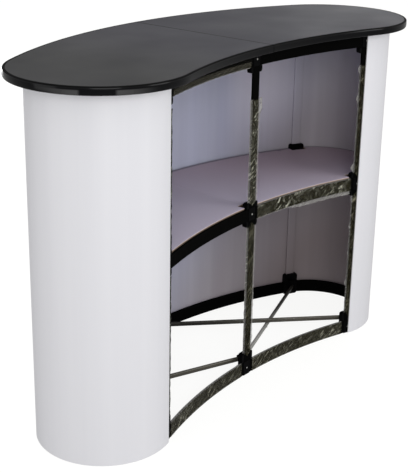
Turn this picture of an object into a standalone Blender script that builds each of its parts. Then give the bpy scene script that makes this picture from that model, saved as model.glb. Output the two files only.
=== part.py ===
# Exhibition counter: a kidney-shaped top in two halves on a frame of hubs, flat bars and crossing
# struts, with a split shelf and curved panels round the front and both ends.
# X runs along the counter, +Y from the staff side to the front, +Z up. Lengths are in metres.
import math

import bmesh
import bpy
from mathutils import Matrix, Vector

for old in list(bpy.data.objects):
    bpy.data.objects.remove(old, do_unlink=True)

# Top, with the sizes of its plan
COUNTER_HEIGHT = 0.950
BOARD_THICKNESS = 0.020
TOP_LENGTH = 1.397
TOP_WIDTH_MIDDLE = 0.4805
TOP_CONCAVE_RADIUS = 1.280
TOP_END_RADIUS = 0.2225
EDGE_BAND_WIDTH = 0.007
EDGE_BAND_ROUNDING = 0.0065
EDGE_BAND_SEGMENTS = 3

# Panels
PANEL_OVERHANG = 0.046
PANEL_THICKNESS = 0.003
PANEL_TOP_GAP = 0.0006
MAGNET_STRIP_WIDTH = 0.018

# Clearances
FLOOR_CLEARANCE = 0.001
FIT_GAP = 0.0003
SEAM_GAP = 0.0004
BAR_END_GAP = 0.0006
BAR_SEAT_GAP = 0.0006
SHELF_EDGE_GAP = 0.001
SHELF_NOTCH_GAP = 0.002
CUT_OVERRUN = 0.005
JOIN_OVERLAP = 0.0003

# Flat bars
BAR_THICKNESS = 0.006
BAR_CHAMFER = 0.0012
BAR_HEIGHT = 0.036
BOTTOM_BAR_HEIGHT = 0.040
TOP_BAR_GAP = 0.0054
UPRIGHT_WIDTH = 0.028

# Moulded hubs
HUB_WIDTH = 0.048
HUB_HEIGHT = 0.070
HUB_PLATE_DEPTH = 0.0075
HUB_CORNER = 0.006
HUB_PANEL_GAP = 0.0006
HUB_BRACKET_WIDTH = 0.020
HUB_BRACKET_DEPTH = 0.016
HUB_BRACKET_PLATE = 0.004
PIN_RADIUS = 0.002
PIN_CLEARANCE = 0.0004
PIN_DEPTH = 0.0094
RIVET_RADIUS = 0.0035
RIVET_HEIGHT = 0.0008

# Level of the middle hubs, above the floor
MIDDLE_LEVEL = 0.4836

# Pegs under the top that drop into the end hubs
PEG_RADIUS = 0.004
PEG_LENGTH = 0.009
PEG_CLEARANCE = 0.0012
SOCKET_EXTRA_DEPTH = 0.003

# Crossing struts, flat ovals stacked in pairs
STRUT_HEIGHT = 0.014
STRUT_THICKNESS = 0.008
STRUT_ROUNDING = 0.0034
STRUT_OVERSHOOT = 0.006
STRUT_DROP = 0.002
STRUT_SLOT_GAP = 0.0003
RIVET_HEAD_RADIUS = 0.0036
RIVET_HEAD_HEIGHT = 0.0012

# Shelf
SHELF_THICKNESS = 0.010

# Folding axis of the top, just above its face
FOLD_RISE = 0.0003

# Steps round the curves
BAR_STEPS = 12
END_STEPS = 24
FRONT_STEPS = 32
ROUND_END_STEPS = 30
CYLINDER_SIDES = 12
CORNER_STEPS = 2
CHAMFER_STEPS = 1
ROUND_PROFILE_SHARE = 0.5

MERGE_DISTANCE = 0.00001
FLAT_ANGLE = math.radians(0.5)
SMOOTH_ANGLE = math.radians(35)
HARD_ANGLE = math.radians(50)

# Finishes: colour, then the shares of metal and of roughness
FINISH_SHARES = {
    "black_plastic": ((0.012, 0.012, 0.013), 0.0, 0.45),
    "edge_plastic": ((0.008, 0.008, 0.009), 0.0, 0.25),
    "black_bar": ((0.020, 0.020, 0.018), 0.2, 0.5),
    "grey_bar": ((0.40, 0.40, 0.45), 0.2, 0.5),
    "strut_metal": ((0.16, 0.15, 0.13), 0.5, 0.4),
    "top_laminate": ((0.085, 0.086, 0.090), 0.0, 0.4),
    "shelf_laminate": ((0.30, 0.27, 0.31), 0.0, 0.35),
    "panel_plastic": ((0.72, 0.72, 0.76), 0.0, 0.5),
}

# Places that follow from the sizes above
board_underside = COUNTER_HEIGHT - BOARD_THICKNESS
bottom_level = HUB_HEIGHT / 2
top_level = board_underside - TOP_BAR_GAP - BAR_HEIGHT / 2
plate_front = BAR_THICKNESS + BAR_SEAT_GAP
plate_back = plate_front + HUB_PLATE_DEPTH
pin_inset = plate_back + PIN_DEPTH
peg_inset = plate_back / 2
strut_slot = STRUT_HEIGHT + STRUT_SLOT_GAP
strut_offset = (STRUT_HEIGHT + STRUT_SLOT_GAP) / 2
half_upright = UPRIGHT_WIDTH / 2
shelf_low = MIDDLE_LEVEL - STRUT_DROP + strut_offset + STRUT_HEIGHT / 2 + FIT_GAP

# Plan of the top: a concave arc, two round ends and an outer arc, each tangent to the next
inner_reach = TOP_CONCAVE_RADIUS + TOP_END_RADIUS
front_reach = TOP_CONCAVE_RADIUS + TOP_WIDTH_MIDDLE - TOP_END_RADIUS
end_x = TOP_LENGTH / 2 - TOP_END_RADIUS
end_rise = math.sqrt(inner_reach ** 2 - end_x ** 2)
centre_span = (inner_reach ** 2 - front_reach ** 2) / (end_rise - front_reach) / 2
outer_radius = TOP_CONCAVE_RADIUS + TOP_WIDTH_MIDDLE - centre_span
back_angle = math.atan2(end_x, end_rise)
front_angle = math.atan2(end_x, end_rise - centre_span)

# The origin lies on the floor under the middle of the top's bounding box
plan_low = end_rise - TOP_CONCAVE_RADIUS - TOP_END_RADIUS
plan_middle = (plan_low + TOP_WIDTH_MIDDLE) / 2
CONCAVE_CENTRE = Vector((0, -TOP_CONCAVE_RADIUS - plan_middle))
OUTER_CENTRE = CONCAVE_CENTRE + Vector((0, centre_span))
RIGHT_END_CENTRE = CONCAVE_CENTRE + Vector((end_x, end_rise))
LEFT_END_CENTRE = CONCAVE_CENTRE + Vector((-end_x, end_rise))
SIDES = {"left": -1, "right": 1}
END_CENTRES = {"left": LEFT_END_CENTRE, "right": RIGHT_END_CENTRE}

# Radii of the panels' outer faces
front_radius = outer_radius - PANEL_OVERHANG
end_radius = TOP_END_RADIUS - PANEL_OVERHANG

# Radii of the bars' faces, drawn in until a hub's corners clear the tight bend of an end panel
corner_reach = end_radius - PANEL_THICKNESS - HUB_PANEL_GAP
end_face = math.sqrt(corner_reach ** 2 - (HUB_WIDTH / 2) ** 2)
face_offset = TOP_END_RADIUS - end_face
back_face = TOP_CONCAVE_RADIUS + face_offset
front_face = outer_radius - face_offset
panel_standoff = face_offset - PANEL_OVERHANG - PANEL_THICKNESS

parts = bpy.data.collections.new("exhibition_counter")
cutters = bpy.data.collections.new("counter_cutters")
for collection in (parts, cutters):
    bpy.context.scene.collection.children.link(collection)


def finish(name, colour, metallic, roughness):
    """A plain material."""
    material = bpy.data.materials.new(name)
    material.use_nodes = True
    shader = material.node_tree.nodes["Principled BSDF"]
    shader.inputs["Base Color"].default_value = (*colour, 1)
    shader.inputs["Metallic"].default_value = metallic
    shader.inputs["Roughness"].default_value = roughness
    return material


materials = {name: finish(name, *shares) for name, shares in FINISH_SHARES.items()}


def at(centre, radius, angle):
    """A plan point at an angle from +Y, turning towards +X."""
    return centre + Vector((radius * math.sin(angle), radius * math.cos(angle)))


def spread(first, last, steps):
    """Evenly spaced values from first to last."""
    return [first + (last - first) * i / steps for i in range(steps + 1)]


def to_mesh(name, build):
    """Turns a closed bmesh into a mesh whose faces point out."""
    bmesh.ops.recalc_face_normals(build, faces=build.faces)
    mesh = bpy.data.meshes.new(name)
    build.to_mesh(mesh)
    build.free()
    return mesh


def add_part(name, mesh, material, place=Matrix(), smooth=False):
    """Puts a mesh into the counter as a named piece."""
    obj = bpy.data.objects.new(name, mesh)
    obj.matrix_world = place
    parts.objects.link(obj)
    mesh.materials.clear()
    mesh.materials.append(materials[material])
    if smooth:
        mesh.shade_smooth()
        mesh.set_sharp_from_angle(angle=SMOOTH_ANGLE)
    return obj


def baked(obj):
    """The evaluated, welded mesh of a working object, which is removed."""
    bpy.context.view_layer.update()
    graph = bpy.context.evaluated_depsgraph_get()
    result = bpy.data.meshes.new_from_object(obj.evaluated_get(graph))
    name = obj.name
    bpy.data.objects.remove(obj, do_unlink=True)
    build = bmesh.new()
    build.from_mesh(result)
    bmesh.ops.remove_doubles(build, verts=build.verts, dist=MERGE_DISTANCE)
    return to_mesh(name, build)


def combine(mesh, others, operation):
    """Joins solids to a mesh or cuts them from it."""
    base = bpy.data.objects.new(mesh.name, mesh)
    cutters.objects.link(base)
    tools = []
    for other in others:
        tool = bpy.data.objects.new("tool", other)
        cutters.objects.link(tool)
        tools.append(tool)
        step = base.modifiers.new("step", "BOOLEAN")
        step.object = tool
        step.operation = operation
        step.solver = "EXACT"
    result = baked(base)
    for tool in tools:
        bpy.data.objects.remove(tool, do_unlink=True)
    build = bmesh.new()
    build.from_mesh(result)
    bmesh.ops.dissolve_limit(build, angle_limit=FLAT_ANGLE, verts=build.verts, edges=build.edges)
    bmesh.ops.triangulate(build, faces=build.faces)
    return to_mesh(result.name, build)


def block(low, high):
    """A box between two corners."""
    low, high = Vector(low), Vector(high)
    build = bmesh.new()
    place = Matrix.Translation((low + high) / 2) @ Matrix.Diagonal((*(high - low), 1))
    bmesh.ops.create_cube(build, size=1, matrix=place)
    return to_mesh("block", build)


def rod(plan_point, radius, low, high):
    """An upright round bar."""
    build = bmesh.new()
    place = Matrix.Translation((plan_point[0], plan_point[1], (low + high) / 2))
    bmesh.ops.create_cone(
        build, cap_ends=True, segments=CYLINDER_SIDES, radius1=radius, radius2=radius, depth=high - low,
        matrix=place
    )
    return to_mesh("rod", build)


def plate(outline, low, high):
    """A flat board over a plan outline, from a filled curve."""
    curve = bpy.data.curves.new("plate", "CURVE")
    curve.dimensions = "2D"
    curve.fill_mode = "BOTH"
    curve.extrude = (high - low) / 2
    spline = curve.splines.new("POLY")
    spline.points.add(len(outline[1:]))
    for point, place in zip(spline.points, outline):
        point.co = (place.x, place.y, 0, 1)
    spline.use_cyclic_u = True
    obj = bpy.data.objects.new("plate", curve)
    cutters.objects.link(obj)
    build = bmesh.new()
    build.from_mesh(baked(obj))
    bmesh.ops.dissolve_limit(build, angle_limit=FLAT_ANGLE, verts=build.verts, edges=build.edges)
    bmesh.ops.translate(build, verts=build.verts, vec=(0, 0, (low + high) / 2))
    return to_mesh("plate", build)


def bent_strip(name, centre, radius, first, last, low, high, steps, thickness, outwards, chamfer=0):
    """A flat bar or sheet bent round a plan centre, thickened away from its face or towards it."""
    build = bmesh.new()
    angles = spread(max(first, last), min(first, last), steps)
    row = [build.verts.new((*at(centre, radius, angle), low)) for angle in angles]
    edges = [build.edges.new(pair) for pair in zip(row, row[1:])]
    raised = bmesh.ops.extrude_edge_only(build, edges=edges)["geom"]
    moved = [item for item in raised if isinstance(item, bmesh.types.BMVert)]
    bmesh.ops.translate(build, verts=moved, vec=(0, 0, high - low))
    build.normal_update()
    mid_face = build.faces[:][steps // 2]
    away = mid_face.calc_center_median().xy - centre
    if mid_face.normal.xy.dot(away) < 0:
        bmesh.ops.reverse_faces(build, faces=build.faces)
    mesh = bpy.data.meshes.new(name)
    build.to_mesh(mesh)
    build.free()
    obj = bpy.data.objects.new(name, mesh)
    cutters.objects.link(obj)
    solid = obj.modifiers.new("thickness", "SOLIDIFY")
    solid.thickness = thickness
    solid.offset = 1 if outwards else -1
    solid.use_even_offset = True
    if chamfer:
        edge = obj.modifiers.new("edges", "BEVEL")
        edge.width = chamfer
        edge.segments = 1
        edge.limit_method = "ANGLE"
        edge.angle_limit = HARD_ANGLE
    return baked(obj)


def half_outline(offset, side, seam_x):
    """Half of the kidney, drawn in by offset, from its staff corner round the end to its front corner."""
    points = [at(CONCAVE_CENTRE, TOP_CONCAVE_RADIUS + offset, a) for a in spread(0, back_angle, BAR_STEPS)]
    end_angles = spread(math.pi + back_angle, front_angle, ROUND_END_STEPS)[1:]
    points += [at(RIGHT_END_CENTRE, TOP_END_RADIUS - offset, a) for a in end_angles]
    points += [at(OUTER_CENTRE, outer_radius - offset, a) for a in spread(front_angle, 0, BAR_STEPS)[1:]]
    points[0].x = points[-1].x = seam_x
    return [Vector((side * p.x, p.y)) for p in points]


# The six columns: the middle of the upright's face in plan, and the way that the face looks
columns = {}
for side_name, side in (("left", -1), ("centre", 0), ("right", 1)):
    spot = at(CONCAVE_CENTRE, back_face, side * back_angle)
    columns["back_" + side_name] = (spot, (CONCAVE_CENTRE - spot).normalized())
    spot = at(OUTER_CENTRE, front_face, side * front_angle)
    columns["front_" + side_name] = (spot, (spot - OUTER_CENTRE).normalized())


def column_place(column):
    """Turns a column's own space (X along its face, -Y outwards, Z up) into the counter's."""
    spot, outward = columns[column]
    turn = math.atan2(outward.x, -outward.y)
    return Matrix.Translation((*spot, 0)) @ Matrix.Rotation(turn, 4, "Z")


def behind(column, depth):
    """A plan point at a depth behind a column's face."""
    spot, outward = columns[column]
    return spot - outward * depth


# Heights of the bars and hubs at each level
bars = {
    "bottom": (FLOOR_CLEARANCE, FLOOR_CLEARANCE + BOTTOM_BAR_HEIGHT),
    "middle": (MIDDLE_LEVEL - BAR_HEIGHT / 2, MIDDLE_LEVEL + BAR_HEIGHT / 2),
    "top": (top_level - BAR_HEIGHT / 2, top_level + BAR_HEIGHT / 2),
}
hubs = {
    "bottom": (0, HUB_HEIGHT),
    "middle": (MIDDLE_LEVEL - HUB_HEIGHT / 2, MIDDLE_LEVEL + HUB_HEIGHT / 2),
    "top": (top_level - HUB_HEIGHT / 2, board_underside - FIT_GAP),
}
strut_planes = {
    "bottom": bottom_level,
    "middle": MIDDLE_LEVEL - STRUT_DROP,
    "top": top_level - STRUT_DROP,
}


def bevelled(mesh, edges_wanted, width, segments):
    """Rounds the edges of a mesh for which edges_wanted is true."""
    build = bmesh.new()
    build.from_mesh(mesh)
    chosen = [edge for edge in build.edges if edges_wanted(edge)]
    bmesh.ops.bevel(build, geom=chosen, offset=width, segments=segments, profile=ROUND_PROFILE_SHARE,
                    affect="EDGES")
    return to_mesh(mesh.name, build)


def runs_along(axis):
    """Picks the edges that run along the x, y or z axis."""
    def test(edge):
        span = edge.verts[1].co - edge.verts[0].co
        return abs(getattr(span, axis)) > span.length - MERGE_DISTANCE
    return test


def bar_channels(level):
    """The room that a hub's front leaves for the ends of its bars and uprights."""
    low, high = hubs[level]
    bar_low, bar_high = bars[level]
    reach = HUB_WIDTH / 2 + CUT_OVERRUN
    under_bar = low - CUT_OVERRUN if level == "bottom" else bar_low - BAR_END_GAP
    over_bar = bar_high + BAR_END_GAP
    half_slot = half_upright + BAR_END_GAP
    channels = [
        block((-reach, -CUT_OVERRUN, under_bar), (-half_upright, plate_front, over_bar)),
        block((half_upright, -CUT_OVERRUN, under_bar), (reach, plate_front, over_bar)),
    ]
    if level != "top":
        top = high + CUT_OVERRUN
        channels.append(block((-half_slot, -CUT_OVERRUN, bar_high), (half_slot, plate_front, top)))
    if level != "bottom":
        foot = low - CUT_OVERRUN
        channels.append(block((-half_slot, -CUT_OVERRUN, foot), (half_slot, plate_front, bar_low)))
    return channels


def hub_mesh(level, with_socket):
    """A moulded hub: a rounded block with channels at its front, a rivet, and a bracket for two struts."""
    low, high = hubs[level]
    half = HUB_WIDTH / 2
    plane = strut_planes[level]
    body = block((-half, 0, low), (half, plate_back, high))
    body = bevelled(body, runs_along("y"), HUB_CORNER, CORNER_STEPS)
    body = combine(body, bar_channels(level), "DIFFERENCE")
    half_bracket = HUB_BRACKET_WIDTH / 2
    near, far = plate_back - JOIN_OVERLAP, plate_back + HUB_BRACKET_DEPTH
    slot_top = plane + strut_slot
    slot_foot = plane - strut_slot
    rivet = rod((0, 0), RIVET_RADIUS, -RIVET_HEIGHT, RIVET_HEIGHT)
    lie_down = Matrix.Rotation(math.pi / 2, 4, "X")
    rivet.transform(Matrix.Translation((0, 0, sum(bars[level]) / 2)) @ lie_down)
    added = [
        block((-half_bracket, near, slot_top), (half_bracket, far, slot_top + HUB_BRACKET_PLATE)),
        block((-half_bracket, near, slot_foot - HUB_BRACKET_PLATE), (half_bracket, far, slot_foot)),
        rod((0, pin_inset), PIN_RADIUS, slot_foot - JOIN_OVERLAP, slot_top + JOIN_OVERLAP),
        rivet,
    ]
    body = combine(body, added, "UNION")
    if with_socket:
        foot = board_underside - PEG_LENGTH - SOCKET_EXTRA_DEPTH
        hole = rod((0, peg_inset), PEG_RADIUS + PEG_CLEARANCE, foot, board_underside + CUT_OVERRUN)
        body = combine(body, [hole], "DIFFERENCE")
    body.name = "hub_" + level
    return body


# Hubs
hub_shapes = {(level, False): hub_mesh(level, False) for level in hubs}
hub_shapes["top", True] = hub_mesh("top", True)
for column in columns:
    for level in hubs:
        with_socket = level == "top" and "centre" not in column
        mesh = hub_shapes[level, with_socket]
        add_part("hub_" + column + "_" + level, mesh, "black_plastic", column_place(column))

# Uprights between the hubs, two to a column
storeys = {"lower": (bars["bottom"][1], bars["middle"][0]), "upper": (bars["middle"][1], bars["top"][0])}
for storey, (low, high) in storeys.items():
    upright = block((-half_upright, 0, low + BAR_END_GAP), (half_upright, BAR_THICKNESS, high - BAR_END_GAP))
    upright = bevelled(upright, runs_along("z"), BAR_CHAMFER, CHAMFER_STEPS)
    for column in columns:
        material = "black_bar" if "back" in column else "grey_bar"
        add_part("upright_" + column + "_" + storey, upright.copy(), material, column_place(column))

# Curved bars between the columns, behind and in front
trim = half_upright + BAR_END_GAP
back_trim = math.asin(trim / back_face)
front_trim = math.asin(trim / (front_face - BAR_THICKNESS))
for level, (low, high) in bars.items():
    for side_name, side in SIDES.items():
        name = "bar_back_" + level + "_" + side_name
        mesh = bent_strip(
            name, CONCAVE_CENTRE, back_face, side * back_trim, side * (back_angle - back_trim),
            low, high, BAR_STEPS, BAR_THICKNESS, True, BAR_CHAMFER
        )
        add_part(name, mesh, "black_bar")
        name = "bar_front_" + level + "_" + side_name
        mesh = bent_strip(
            name, OUTER_CENTRE, front_face, side * front_trim, side * (front_angle - front_trim),
            low, high, BAR_STEPS, BAR_THICKNESS, False, BAR_CHAMFER
        )
        add_part(name, mesh, "black_bar")

# Bottom bars round the two ends
end_trim = math.asin((HUB_WIDTH / 2 + BAR_END_GAP) / (end_face - BAR_THICKNESS))
for side_name, side in SIDES.items():
    name = "bar_end_bottom_" + side_name
    first, last = side * (front_angle + end_trim), side * (math.pi + back_angle - end_trim)
    mesh = bent_strip(
        name, END_CENTRES[side_name], end_face, first, last, *bars["bottom"], END_STEPS, BAR_THICKNESS,
        False, BAR_CHAMFER
    )
    add_part(name, mesh, "black_bar")


def strut(ends, middle, hole_points):
    """A flat oval strut between two plan points, with holes."""
    start, finish_point = ends
    span = finish_point - start
    half_length = span.length / 2 + STRUT_OVERSHOOT
    half_height, half_thickness = STRUT_HEIGHT / 2, STRUT_THICKNESS / 2
    mesh = block((-half_length, -half_thickness, -half_height), (half_length, half_thickness, half_height))
    mesh = bevelled(mesh, runs_along("x"), STRUT_ROUNDING, CORNER_STEPS)
    centre = (start + finish_point) / 2
    turn = Matrix.Rotation(math.atan2(span.y, span.x), 4, "Z")
    mesh.transform(Matrix.Translation((*centre, middle)) @ turn)
    radius = PIN_RADIUS + PIN_CLEARANCE
    reach = half_height + CUT_OVERRUN
    holes = [rod(point, radius, middle - reach, middle + reach) for point in hole_points]
    return combine(mesh, holes, "DIFFERENCE")


def crossing(first, second):
    """The plan point where two struts cross."""
    a, b = first[0], first[1] - first[0]
    c, d = second[0], second[1] - second[0]
    gap = c - a
    share = (gap.x * d.y - gap.y * d.x) / (b.x * d.y - b.y * d.x)
    return a + b * share


# Crossing struts: one rivet carries each pair, and at the middle level it joins them for good
strut_ends = {
    "left": (("front_left", "back_centre"), ("back_left", "front_centre")),
    "right": (("front_centre", "back_right"), ("back_centre", "front_right")),
}
for level in ("bottom", "middle"):
    plane = strut_planes[level]
    for side_name, pairs in strut_ends.items():
        high_ends, low_ends = [[behind(column, pin_inset) for column in pair] for pair in pairs]
        middle_pin = crossing(high_ends, low_ends)
        high = strut(high_ends, plane + strut_offset, high_ends)
        if level == "middle":
            low = strut(low_ends, plane - strut_offset, low_ends)
            pin = rod(middle_pin, PIN_RADIUS, plane - strut_offset, plane + strut_offset)
            add_part("strut_pair_middle_" + side_name, combine(high, [low, pin], "UNION"), "strut_metal")
            continue
        low = strut(low_ends, plane - strut_offset, low_ends + [middle_pin])
        head_top = plane - strut_slot - FIT_GAP
        head = rod(middle_pin, RIVET_HEAD_RADIUS, head_top - RIVET_HEAD_HEIGHT, head_top)
        pin = rod(middle_pin, PIN_RADIUS, head_top - JOIN_OVERLAP, plane + strut_offset)
        add_part("strut_high_bottom_" + side_name, combine(high, [pin, head], "UNION"), "strut_metal")
        add_part("strut_low_bottom_" + side_name, low, "strut_metal")


def rim_edges(edge):
    """Picks the edges round a board's two faces, but not those along its seam."""
    first, second = (vertex.co for vertex in edge.verts)
    level = abs(first.z - second.z) < MERGE_DISTANCE
    on_seam = abs(first.x) < SEAM_GAP and abs(second.x) < SEAM_GAP
    return level and not on_seam and len(edge.link_faces) == 2 and edge.calc_face_angle(0) > HARD_ANGLE


# Two halves of the top, each with its edge band and two pegs; the right one folds over the left
fold_axis = Vector((0, 0, COUNTER_HEIGHT + FOLD_RISE))
to_fold = Matrix.Translation(fold_axis)
for side_name, side in SIDES.items():
    seam_x = SEAM_GAP / 2
    outline = half_outline(EDGE_BAND_WIDTH + FIT_GAP, side, seam_x)
    board = plate(outline, board_underside, COUNTER_HEIGHT)
    pegs = []
    for column in ("back_" + side_name, "front_" + side_name):
        spot = behind(column, peg_inset)
        pegs.append(rod(spot, PEG_RADIUS, board_underside - PEG_LENGTH, board_underside + JOIN_OVERLAP))
    board = combine(board, pegs, "UNION")
    blank = plate(half_outline(0, side, seam_x), board_underside, COUNTER_HEIGHT)
    blank = bevelled(blank, rim_edges, EDGE_BAND_ROUNDING, EDGE_BAND_SEGMENTS)
    inside = plate(
        half_outline(EDGE_BAND_WIDTH, side, -CUT_OVERRUN),
        board_underside - CUT_OVERRUN, COUNTER_HEIGHT + CUT_OVERRUN
    )
    band = combine(blank, [inside], "DIFFERENCE")
    for name, mesh, material in (("top_board_", board, "top_laminate"), ("top_edge_", band, "edge_plastic")):
        mesh.transform(to_fold.inverted())
        add_part(name + side_name, mesh, material, to_fold, smooth=mesh is band)

# Shelf halves on the middle struts, notched round the hubs and uprights
shelf_offset = face_offset + BAR_THICKNESS + SHELF_EDGE_GAP
shelf_high = shelf_low + SHELF_THICKNESS
notch_half = HUB_WIDTH / 2 + SHELF_NOTCH_GAP
notch_depth = plate_back + HUB_BRACKET_DEPTH + SHELF_NOTCH_GAP
for side_name, side in SIDES.items():
    shelf = plate(half_outline(shelf_offset, side, SEAM_GAP / 2), shelf_low, shelf_high)
    notches = []
    for column in columns:
        if "centre" in column or side_name in column:
            notch = block((-notch_half, -notch_depth, shelf_low - CUT_OVERRUN),
                          (notch_half, notch_depth, shelf_high + CUT_OVERRUN))
            notch.transform(column_place(column))
            notches.append(notch)
    add_part("shelf_" + side_name, combine(shelf, notches, "DIFFERENCE"), "shelf_laminate")

# Panels with magnet strips that hold them to the uprights
panel_low, panel_high = FLOOR_CLEARANCE, board_underside - PANEL_TOP_GAP
half_seam = SEAM_GAP / 2
strip_thickness = panel_standoff - FIT_GAP + JOIN_OVERLAP


def panel(name, centre, radius, first, last, steps, strips):
    """A bent panel with magnet strips on its back, given as spans of angle."""
    mesh = bent_strip(name, centre, radius, first, last, panel_low, panel_high, steps, PANEL_THICKNESS, False)
    back = radius - PANEL_THICKNESS + JOIN_OVERLAP
    added = []
    for near, far in strips:
        for low, high in storeys.values():
            added.append(bent_strip("strip", centre, back, near, far, low, high, 1, strip_thickness, False))
    return add_part(name, combine(mesh, added, "UNION"), "panel_plastic", smooth=True)


front_end = front_angle - half_seam / front_radius
wide = MAGNET_STRIP_WIDTH / front_radius
panel(
    "panel_front", OUTER_CENTRE, front_radius, -front_end, front_end, FRONT_STEPS,
    ((-wide / 2, wide / 2), (-front_end, wide / 2 - front_end), (front_end - wide / 2, front_end))
)
first_end = front_angle + half_seam / end_radius
last_end = math.pi + back_angle
half_strip = MAGNET_STRIP_WIDTH / 2 / end_radius
for side_name, side in SIDES.items():
    first, last = side * first_end, side * last_end
    panel(
        "panel_end_" + side_name, END_CENTRES[side_name], end_radius, first, last, ROUND_END_STEPS,
        ((first, first + side * half_strip), (last - side * half_strip, last))
    )
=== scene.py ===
# %% [markdown]
# # An exhibition counter, dressed step by step
# The solids of the counter come ready made and stay where they are: hubs, bars, struts, boards and panels.
# This lesson gives each of them the surface that the real piece has, and adds the thin things that a solid
# model leaves out, such as protective film, magnet tape, hinge plates and rivets.

# %% Load the solids
import math

import bmesh
import bpy
from mathutils import Euler, Matrix, Vector, noise


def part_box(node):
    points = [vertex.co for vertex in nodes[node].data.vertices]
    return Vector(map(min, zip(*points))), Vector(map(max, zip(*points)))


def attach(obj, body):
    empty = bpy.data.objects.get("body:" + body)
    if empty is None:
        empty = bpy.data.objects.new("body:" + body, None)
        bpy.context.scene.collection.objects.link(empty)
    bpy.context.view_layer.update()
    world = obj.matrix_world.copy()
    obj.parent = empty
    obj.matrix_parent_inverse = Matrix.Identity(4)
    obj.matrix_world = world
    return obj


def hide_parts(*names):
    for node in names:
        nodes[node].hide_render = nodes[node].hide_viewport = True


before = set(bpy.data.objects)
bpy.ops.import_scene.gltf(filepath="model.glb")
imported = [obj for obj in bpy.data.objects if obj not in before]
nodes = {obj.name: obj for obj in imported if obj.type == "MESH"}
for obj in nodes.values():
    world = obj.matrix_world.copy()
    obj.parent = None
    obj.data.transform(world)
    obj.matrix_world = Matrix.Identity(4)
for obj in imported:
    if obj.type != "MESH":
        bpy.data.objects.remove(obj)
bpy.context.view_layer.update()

# %% [markdown]
# ## Camera
# The counter was photographed from the staff side, left of the middle and from about eye height, with a
# long lens. The camera is placed by its eye point and three turns, so that each number can be changed by
# itself. A small shift keeps the counter low in the frame, as it is in the photograph.

# %% Place the camera
EYE = Vector((-2.2307, -1.7949, 1.4739))
TURN_RIGHT = 0.88881
TILT_DOWN = 0.34503
ROLL = 0.01841
LENS_MM = 82.97
SENSOR_MM = 36
SHIFT_DOWN = -0.0455

camera_data = bpy.data.cameras.new("photo_camera")
camera_data.lens = LENS_MM
camera_data.sensor_width = SENSOR_MM
camera_data.shift_y = SHIFT_DOWN
camera = bpy.data.objects.new("photo_camera", camera_data)
look = Matrix.Rotation(-TURN_RIGHT, 4, "Z") @ Matrix.Rotation(math.pi / 2 - TILT_DOWN, 4, "X")
camera.matrix_world = Matrix.Translation(EYE) @ look @ Matrix.Rotation(ROLL, 4, "Z")
bpy.context.scene.collection.objects.link(camera)
bpy.context.scene.camera = camera
print("camera at", [round(v, 2) for v in EYE], "lens", LENS_MM, "mm")

# %% [markdown]
# ## Small tools for shader nodes
# A material is a graph. Two helpers keep the graphs short to read: one adds a node and fills in its
# settings and unlinked inputs, the other makes a group with named inputs and outputs.

# %% Helpers for nodes


def add_node(tree, kind, settings=None, **inputs):
    """Adds a node. Settings are its properties; inputs are values, or sockets to link from."""
    node = tree.nodes.new(kind)
    for name, value in (settings or {}).items():
        setattr(node, name, value)
    for name, value in inputs.items():
        socket = node.inputs[int(name[1:])] if name[0] == "i" and name[1:].isdigit() else node.inputs[name]
        if isinstance(value, bpy.types.NodeSocket):
            tree.links.new(value, socket)
        else:
            socket.default_value = value
    return node


def make_group(name, inputs, outputs):
    """An empty shader group with named inputs and outputs, and its two end nodes."""
    group = bpy.data.node_groups.new(name, "ShaderNodeTree")
    for label, kind, value in inputs:
        socket = group.interface.new_socket(label, in_out="INPUT", socket_type="NodeSocket" + kind)
        if value is not None:
            socket.default_value = value
    for label, kind in outputs:
        group.interface.new_socket(label, in_out="OUTPUT", socket_type="NodeSocket" + kind)
    return group, group.nodes.new("NodeGroupInput"), group.nodes.new("NodeGroupOutput")


def new_material(name):
    """A material with its shader, and the surface's own coordinates."""
    material = bpy.data.materials.new(name)
    material.use_nodes = True
    tree = material.node_tree
    shader = tree.nodes["Principled BSDF"]
    place = tree.nodes.new("ShaderNodeTexCoord").outputs["Object"]
    return material, tree, shader, place


def use_group(tree, group, **inputs):
    """Places a group in a material, with its own values."""
    node = add_node(tree, "ShaderNodeGroup", {"node_tree": group})
    for name, value in inputs.items():
        socket = node.inputs[name.replace("_", " ")]
        if isinstance(value, bpy.types.NodeSocket):
            tree.links.new(value, socket)
        else:
            socket.default_value = value
    return node


print("node helpers ready")

# %% [markdown]
# ## Effects that several finishes share
# Moulded plastic, coated metal and laminate all have a very fine grain. Everything that is handled has soft
# smudges, which change the gloss more than the colour. Sheets that were rolled up keep faint upright
# streaks. Each effect is one group, and a material sets its scale and strength.

# %% Group: fine grain
fine_grain, ins, outs = make_group(
    "fine_grain",
    [("Place", "Vector", None), ("Scale", "Float", 900.0), ("Strength", "Float", 0.2), ("Depth", "Float", 0.0002)],
    [("Mask", "Float"), ("Normal", "Vector")],
)
speck = add_node(
    fine_grain, "ShaderNodeTexNoise", {"noise_dimensions": "3D"},
    Vector=ins.outputs["Place"], Scale=ins.outputs["Scale"], Detail=3.0, Roughness=0.6,
)
bump = add_node(
    fine_grain, "ShaderNodeBump", None,
    Strength=ins.outputs["Strength"], Distance=ins.outputs["Depth"], Height=speck.outputs["Fac"],
)
fine_grain.links.new(speck.outputs["Fac"], outs.inputs["Mask"])
fine_grain.links.new(bump.outputs["Normal"], outs.inputs["Normal"])
print("group:", fine_grain.name)

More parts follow.
